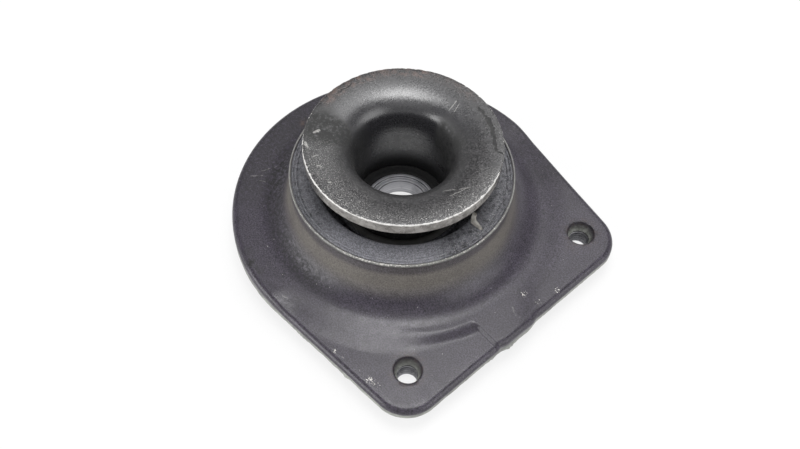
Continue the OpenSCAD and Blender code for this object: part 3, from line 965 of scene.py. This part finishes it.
def mask_dish(obj):
    """Where the dish is clean, dirty, rusty, grainy, chipped, or bare along its cut edge, and where shade
    and sheen are painted on it.
    """
    co, r, theta, z = points_of(obj)
    upper = (z > 44.5) & (r < 39.9)
    back_zone = sector(theta, 85, 190, 45) * (1 - smooth(30.0, 37.0, r))
    set_mask(obj, "tone", back_zone + 0.8 * (1 - smooth(30.0, 40.0, z)) * (r < 21))

    top_r, top_z = np.array(dish_top()[::-1]).T
    under = (z < np.interp(r, top_r, top_z) - 1.5) & (r > 21.5)
    # The dark patch on the left, and painted shade: inside the throat, most on its right, under the dish
    # and down the tube
    dirt_and_shade = spots(co, DISH_DIRT)
    dirt_and_shade += 0.55 * sector(theta, -120, 50, 25) * (1 - smooth(20.5, 30.0, r)) * smooth(24, 38, z)
    dirt_and_shade += 1.0 * sector(theta, 58, 88, 12) * (1 - smooth(20.5, 26.5, r)) * smooth(20, 34, z)
    dirt_and_shade += 0.7 * sector(theta, -160, -60, 25) * (1 - smooth(19.8, 23.0, r))
    dirt_and_shade += 0.9 * under * (r < 39.3) + 0.6 * (r < 21) * (1 - smooth(9.5, 22.0, z))
    set_mask(obj, "dirt_and_shade", dirt_and_shade)

    rusty = 0.9 * sector(theta, 128, 192, 8) + 0.35 * sector(theta, 90, 128, 8)
    set_mask(obj, "rust", rusty * smooth(34.6, 36.2, r) * upper)
    grains_and_sheen = 0.8 * sector(theta, -80, 15, 15) * smooth(34.5, 37.5, r)
    grains_and_sheen += 0.3 * sector(theta, -115, 20, 15) * smooth(29.0, 35.0, r)
    grains_and_sheen += 0.3 * sector(theta, -20, 20, 15) * smooth(30.0, 33.0, r)
    # Painted sheen: the left of the flare lighter
    grains_and_sheen += 0.5 * sector(theta, -128, -72, 12) * smooth(24.0, 30.0, r)
    set_mask(obj, "grains_and_sheen", grains_and_sheen * upper)
    throat_edge = bell_curve(z - 32.4, 0.6) * (r < 20.2)
    wear_and_glints = 0.25 * sector(theta, -62, 10, 12) * smooth(32.0, 37.0, r) * upper
    wear_and_glints += spots(co, DISH_CHIPS) + throat_edge * 0.75 * sector(theta, 120, 155, 12)
    set_mask(obj, "wear_and_glints", wear_and_glints)

    wall = (r > DISH_R - 0.75) & (z > DISH_Z - EDGE_H - 0.05)
    # The cut edge is bare mostly at the front; on the left it keeps the dish's dark colour as painted
    # shade
    set_mask(obj, "bare", wall * smooth(39.45, 39.9, r) * (0.15 + 0.85 * sector(theta, -82, 12, 22)))
    edge_line = bell_curve(np.hypot(r - DISH_R + 0.2, z - DISH_Z + 0.2), 0.36)
    set_mask(obj, "edge", edge_line * (0.45 + 0.55 * sector(theta, -115, 20, 14)))


def mask_rubber(obj):
    """Where shade is painted on the rubber, and where painted glints sparkle on it."""
    co, r, theta, z = points_of(obj)
    # Painted shade: the face darker away from the front, dark lines along the inner feet of the ridges,
    # and the rubber below the face, in the groove under the dish
    dirt_and_shade = (0.9 * sector(theta, -12, 200, 18) + 0.7 * sector(theta, -165, -95, 18)) * (r > 35)
    dirt_and_shade += 0.7 * bell_curve(r - 44.1, 0.22) + 0.6 * bell_curve(r - 42.75, 0.25)
    set_mask(obj, "dirt_and_shade", dirt_and_shade + 0.95 * (z < 29.5))
    # Painted glints: light specks on the front and right of the face
    set_mask(obj, "wear_and_glints", 0.65 * sector(theta, -50, 60, 15) * smooth(37.5, 42.0, r))


def set_camera():
    elevation = math.radians(CAMERA_ELEVATION)
    roll = math.radians(CAMERA_ROLL)
    turn = Matrix.Rotation(math.radians(CAMERA_TURN), 3, "Z")
    back = Vector((0, -math.cos(elevation), math.sin(elevation)))
    right = Vector((1, 0, 0))
    up = back.cross(right)
    cam_x = math.cos(roll) * right + math.sin(roll) * up
    cam_y = -math.sin(roll) * right + math.cos(roll) * up
    place = CAMERA_DISTANCE * MM * (back - CAMERA_AIM[0] * cam_x - CAMERA_AIM[1] * cam_y)
    place = turn @ place + Vector((0, 0, CAMERA_AIM_Z * MM))
    axes = Matrix((turn @ cam_x, turn @ cam_y, turn @ back)).transposed()
    data = bpy.data.cameras.new("camera")
    data.sensor_width = SENSOR_W
    data.lens = SENSOR_W * FOCAL_PIXELS / PICTURE_W
    data.shift_x = SHIFT_PIXELS / PICTURE_W
    data.clip_start = 0.01
    camera = bpy.data.objects.new("camera", data)
    camera.matrix_world = Matrix.Translation(place) @ axes.to_4x4()
    bpy.context.scene.collection.objects.link(camera)
    bpy.context.scene.camera = camera


def area_light(name, azimuth, elevation, distance, size, power):
    data = bpy.data.lights.new(name, "AREA")
    data.shape = "DISK"
    data.size = size
    data.energy = power
    lamp = bpy.data.objects.new(name, data)
    a, e = math.radians(azimuth), math.radians(elevation)
    way = Vector((math.cos(e) * math.cos(a), math.cos(e) * math.sin(a), math.sin(e)))
    lamp.location = Vector((0, 0, LAMP_AIM_Z * MM)) + way * distance
    lamp.rotation_euler = way.to_track_quat("Z", "Y").to_euler()
    bpy.context.scene.collection.objects.link(lamp)


def add_table():
    """White table that the camera and reflections see nearly white, and that keeps a soft shadow."""
    signs = np.array([[-1, -1], [1, -1], [1, 1], [-1, 1]])
    table = make_object("table", at_height(TABLE_HALF * signs, -NUT_H - TABLE_GAP), [(0, 1, 2, 3)])
    g = Graph("white_table")
    path = g.node("ShaderNodeLightPath").outputs
    seen = g.math("MAXIMUM", path["Is Camera Ray"], path["Is Glossy Ray"])
    seen = g.math("MAXIMUM", seen, path["Is Transmission Ray"])
    base = g.mix(g.span(g.noise(30, 3.0, 0.5), 0.3, 0.7), TABLE_DARK, TABLE_LIGHT)
    g.set(Base_Color=base, Roughness=0.9)
    glow = g.node("ShaderNodeEmission", {"Color": (1, 1, 1, 1), "Strength": 1.0})
    share = g.math("MULTIPLY", seen, TABLE_GLOW)
    mixed = g.node("ShaderNodeMixShader", {0: share, 1: g.bsdf.outputs[0], 2: glow.outputs[0]})
    g.tree.links.new(mixed.outputs[0], g.out.inputs[0])
    table.data.materials.append(g.mat)


def set_world():
    """Plain grey surroundings, a little brighter near the horizon."""
    world = bpy.data.worlds.new("studio")
    world.use_nodes = True
    tree = world.node_tree
    tree.nodes.clear()
    world_out = tree.nodes.new("ShaderNodeOutputWorld")
    shade = tree.nodes.new("ShaderNodeBackground")
    shade.inputs["Color"].default_value = (1, 1, 1, 1)
    way = tree.nodes.new("ShaderNodeTexCoord").outputs["Generated"]
    split = tree.nodes.new("ShaderNodeSeparateXYZ")
    tree.links.new(way, split.inputs[0])
    fade = tree.nodes.new("ShaderNodeMapRange")
    fade.interpolation_type = "SMOOTHSTEP"
    for key, value in SKY.items():
        fade.inputs[key].default_value = value
    tree.links.new(split.outputs["Z"], fade.inputs["Value"])
    tree.links.new(fade.outputs[0], shade.inputs["Strength"])
    tree.links.new(shade.outputs[0], world_out.inputs[0])
    bpy.context.scene.world = world


flange = build_flange()
dish = build_dish()
rubber = build_rubber()
fin = build_fin()
inner_ring = build_inner_ring()
outer_ring = build_outer_ring()
cup = build_cup()
nuts = [build_nut("weld_nut_near_skin", -1), build_nut("weld_nut_far_skin", 1)]
seal_upper, seal_lower = build_seals()

mask_flange(flange)
mask_dish(dish)
mask_rubber(rubber)

paint = paint_material()
worn = dish_material()
rubber_mat = rubber_material()
pale = fin_material()
ring_steel = steel_material("bearing_steel", (0.22, 0.22, 0.235), (0.42, 0.42, 0.44), 0.30, 0.42, 1500)
dull_steel = steel_material("cup_steel", (0.20, 0.195, 0.19), (0.32, 0.315, 0.31), 0.42, 0.6, 900)
ball_steel = steel_material("ball_steel", (0.62, 0.62, 0.63), (0.80, 0.80, 0.81), 0.10, 0.18, 600)
brass = steel_material("cage_brass", (0.42, 0.30, 0.13), (0.62, 0.46, 0.22), 0.30, 0.45, 900)
seal_mat = seal_material()

for obj, mat, node, body in (
    (flange, paint, "flange_housing", "housing"),
    (dish, worn, "stop_dish", "core"),
    (inner_ring, ring_steel, "bearing_inner_ring", "inner_race"),
    (outer_ring, ring_steel, "bearing_outer_ring", "core"),
    (cup, dull_steel, "bearing_cup", "core"),
    (seal_upper, seal_mat, "bearing_seal_upper", "core"),
    (seal_lower, seal_mat, "bearing_seal_lower", "core"),
):
    obj.data.materials.append(mat)
    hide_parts(node)
    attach(obj, body)
for nut, node in zip(nuts, ("weld_nut_near", "weld_nut_far")):
    nut.data.materials.append(paint)
    nut.data.materials.append(ring_steel)
    for face in nut.data.polygons:
        x, y, z = face.center / MM
        face.material_index = int(math.hypot(x - BOLT_X, abs(y) - BOLT_Y) < TAP_R + 0.75)
    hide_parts(node)
    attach(nut, "housing")
rubber.data.materials.append(rubber_mat)
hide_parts("rubber_element")
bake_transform(rubber)
fin.data.materials.append(pale)
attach(fin, "housing")
for name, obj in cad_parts.items():
    if name.startswith("bearing_ball") or name == "ball_cage":
        mat = brass if name == "ball_cage" else ball_steel
        if obj.material_slots:
            obj.material_slots[0].material = mat
        else:
            obj.data.materials.append(mat)

set_camera()
for lamp in LAMPS:
    area_light(*lamp)
add_table()
set_world()
bpy.context.scene.view_settings.view_transform = "Standard"
